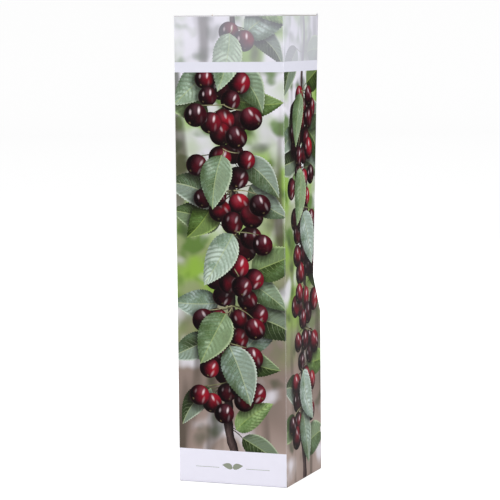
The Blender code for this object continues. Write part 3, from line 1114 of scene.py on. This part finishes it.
# Lock tab
# A tongue of the back wall that is pushed through the slit, and slants in behind it. The blank's
# print runs onto it, and it takes the darkest bark ink so that the slit shows dark: painted shade.
TONGUE = 0.013
TONGUE_SLANT = 0.42  # metres that it leans in over a metre
TONGUE_ROOT = 0.0004  # where it bends through the slit
TONGUE_ROUND = 0.002
tip, root = lock_high.y - TONGUE, lock_high.y - TONGUE_ROOT
sheet = cut_out(
    (tip, lock_low.z, TONGUE_ROUND), (root, lock_low.z, 0),
    (root, lock_high.z, 0), (tip, lock_high.z, TONGUE_ROUND),
)
# The print runs on here in the darkest bark ink, which is painted shade for the slit.
for face in sheet.faces:
    face.material_index = BARK


def slanted_in(u, v, depth):
    return Vector((lock_low.x - FIT - depth - TONGUE_SLANT * (lock_high.y - u), u, v))


boarded(sheet, slanted_in, "lock_tongue", "carton", "lock_tab")


# Bottom flaps
# Four flaps of the same board, folded in over one another: front first, then the two sides,
# and the rear flap outermost. Their white printed side faces down and the kraft shows inside.
FLAP_TAPER = 0.016
FLAP_ROUND = 0.010
for node, across, way in (
    ("bottom_front_flap", False, 1), ("bottom_rear_flap", False, -1),
    ("bottom_left_flap", True, 1), ("bottom_right_flap", True, -1),
):
    low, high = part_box(node)
    near, far = (low.y, high.y) if across else (low.x, high.x)
    hinge, tip = ((low.x, high.x) if across else (low.y, high.y))[::way]
    corners = [
        (hinge, near, 0), (tip, near + FLAP_TAPER, FLAP_ROUND),
        (tip, far - FLAP_TAPER, FLAP_ROUND), (hinge, far, 0),
    ]
    if across:
        corners = [(-x, y, reach) for x, y, reach in corners[::-1]]
    else:
        corners = [(-x, y, reach) for y, x, reach in corners]
    boarded(
        cut_out(*corners[::way]), lambda u, v, depth: Vector((-u, v, low.z + depth)),
        node.replace("bottom_", "bottom_folded_"), "carton", node,
    )


# Lid
# The front wall's top panel, folded back over the hood. Its washed-out print runs on from the
# header, and its rear corners are notched round the side walls' ears.
LID_START = front_low.y + 0.0015  # the crease's bend ends and the lid's flat board begins here
RUN_ON = WALL_TOP - LID_START  # from a depth on the lid to its height on the blank
EAR_PLAY = 0.0006
NOTCH_ROUND = 0.0005
lid_half = lid_high.x
lid_end = lid_high.y + RUN_ON
between_ears = side_low.x - EAR_PLAY
ear_front = tuck_high.y - EAR_LENGTH - FIT
corners = [
    (-lid_half, LID_START, 0), (lid_half, LID_START, 0), (lid_half, ear_front, 0),
    (between_ears, ear_front, NOTCH_ROUND), (between_ears, lid_high.y, 0),
    (-between_ears, lid_high.y, 0), (-between_ears, ear_front, NOTCH_ROUND),
    (-lid_half, ear_front, 0),
]
outline = outline_of(cut_out(*[(x, y + RUN_ON, reach) for x, y, reach in corners]))


def washed_out(u, v):
    """The lid's wear: its whole picture is washed out, and both its creases are rubbed."""
    rub = max(0.0, 1 - min(v - WALL_TOP, lid_end - v) / CREASE_REACH)
    return HEADER_WASH, CREASE_WEAR * rub


rows = [WALL_TOP + CREASE_REACH, lid_end - CREASE_REACH]
boarded(
    printed(outline, sprays, (), rows, washed_out),
    lambda u, v, depth: Vector((u, v - RUN_ON, lid_high.z - depth)), "folded_lid", "lid",
    "lid",
)


# Tuck flap
# The lid's rear end, tucked down behind the hood's edge. Bare varnished white outside.
TUCK_ROUND = 0.014
tuck_half = tuck_high.x
tuck_top = lid_low.z
sheet = cut_out(
    (-tuck_half, tuck_low.z, TUCK_ROUND), (tuck_half, tuck_low.z, TUCK_ROUND),
    (tuck_half, tuck_top, 0), (-tuck_half, tuck_top, 0),
)
boarded(
    sheet, lambda u, v, depth: Vector((-u, tuck_high.y - depth, v)), "tucked_flap",
    "tuck_flap", "tuck_flap",
)


# Dust flaps
# One on each side wall, folded in flat under the lid. White above and kraft below.
DUST_TAPER = 0.014
DUST_ROUND = 0.010
hinge_end = dust_high.x - 0.0011  # the flat board begins here, inside its crease's bend
for way, name in ((1, "right"), (-1, "left")):
    corners = [
        (hinge_end, dust_low.y, 0), (hinge_end, dust_high.y, 0),
        (dust_low.x, dust_high.y - DUST_TAPER, DUST_ROUND),
        (dust_low.x, dust_low.y + DUST_TAPER, DUST_ROUND),
    ]
    sheet = cut_out(*[(way * x, y, reach) for x, y, reach in corners][::way])
    boarded(
        sheet, lambda u, v, depth: Vector((u, v, dust_high.z - depth)),
        name + "_folded_dust_flap", name + "_dust_flap", name + "_dust_flap",
    )


# Creases
# Where a flap turns, only the board's outer liner runs on round the crease. The crease crushes
# it and cracks its ink, so it shows as a thin white line. It bends as the flap turns.
LINER = 0.0003
FLAT_RUN = 0.0004  # liner that lies flat behind the lid before it bends


def creased_paper():
    """Cracked varnished paper: white, with the fibres showing in fine lines along the crease."""
    paper = new_material("creased white liner")
    place = add_node(paper, "TexCoord").outputs["Object"]
    cracks = add_node(paper, "TexNoise", place, per_metre(1.43), 4.0)
    cracks = add_node(paper, "MapRange", cracks, 0.45, 0.70, 0.0, 1.0)
    tint = add_node(
        paper, "Mix", cracks, colour("#d6d4d9"), colour("#bbb9ba"), data_type="RGBA"
    )
    height = add_node(paper, "Math", cracks, 0.00006, operation="MULTIPLY")
    return surfaced(paper, tint, 0.55, height, 0.6)


creased = creased_paper()


def crease_liner(name, path, run, parent, child, still=0):
    """A strip of liner along a path round the crease, as long as run. It begins to turn with
    the flap after its first still points."""
    liner = bmesh.new()
    verts = [liner.verts.new(spot) for spot in path]
    edges = [liner.edges.new(pair) for pair in zip(verts, verts[1:])]
    made = bmesh.ops.extrude_edge_only(liner, edges=edges)["geom"]
    made = [item for item in made if isinstance(item, bmesh.types.BMVert)]
    bmesh.ops.translate(liner, verts=made, vec=run)
    middle = (path[0] + path[-1]) / 2
    for face in liner.faces:
        if face.normal.dot(face.calc_center_median() - run / 2 - middle) < 0:
            face.normal_flip()
    bmesh.ops.solidify(liner, geom=liner.faces[:], thickness=LINER)
    bmesh.ops.recalc_face_normals(liner, faces=liner.faces[:])
    piece = finished(name, liner, creased)
    piece.data.shade_smooth()
    piece.data.set_sharp_from_angle(angle=radians(50))
    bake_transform(piece, parent, child, start=path[still] + run / 2, end=path[-1] + run / 2)


def quarter_turn(middle, first, last):
    """Points on a quarter circle about a middle, from one point's direction to the other's."""
    turns = [radians(90) * step / 8 for step in range(9)]
    return [middle + first * cos(turn) + last * sin(turn) for turn in turns]


UP, BACK, RIGHT = Vector((0, 0, 1)), Vector((0, 1, 0)), Vector((1, 0, 0))
bend = LID_START - front_low.y
middle = Vector((-lid_half, LID_START, lid_high.z - bend))
path = [middle - BACK * bend - UP * (middle.z - FRONT_TOP)]
path += quarter_turn(middle, -BACK * bend, UP * bend)
crease_liner("lid_crease_liner", path, RIGHT * 2 * lid_half, "carton", "lid")

bend = tuck_high.y - lid_high.y - FLAT_RUN
middle = Vector((-tuck_half, tuck_high.y - bend, lid_high.z - bend))
path = [middle + UP * bend - BACK * (middle.y - lid_high.y)]
path += quarter_turn(middle, UP * bend, BACK * bend)
path.append(path[-1] - UP * (path[-1].z - tuck_top))
crease_liner("tuck_crease_liner", path, RIGHT * 2 * tuck_half, "lid", "tuck_flap")

bend = CREASE_DROP
for way, name in ((1, "right"), (-1, "left")):
    outer = way * (side_high.x - bend)
    middle = Vector((outer, dust_low.y, WALL_TOP - bend))
    path = quarter_turn(middle, way * RIGHT * bend, UP * bend)
    still = len(path) + 1
    hinge = Vector((way * hinge_end, dust_low.y, WALL_TOP))
    path += [path[-1].lerp(hinge, step / 5) for step in range(1, 6)]
    crease_liner(
        name + "_dust_crease_liner", path, BACK * (dust_high.y - dust_low.y), "carton",
        name + "_dust_flap", still,
    )


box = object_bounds()
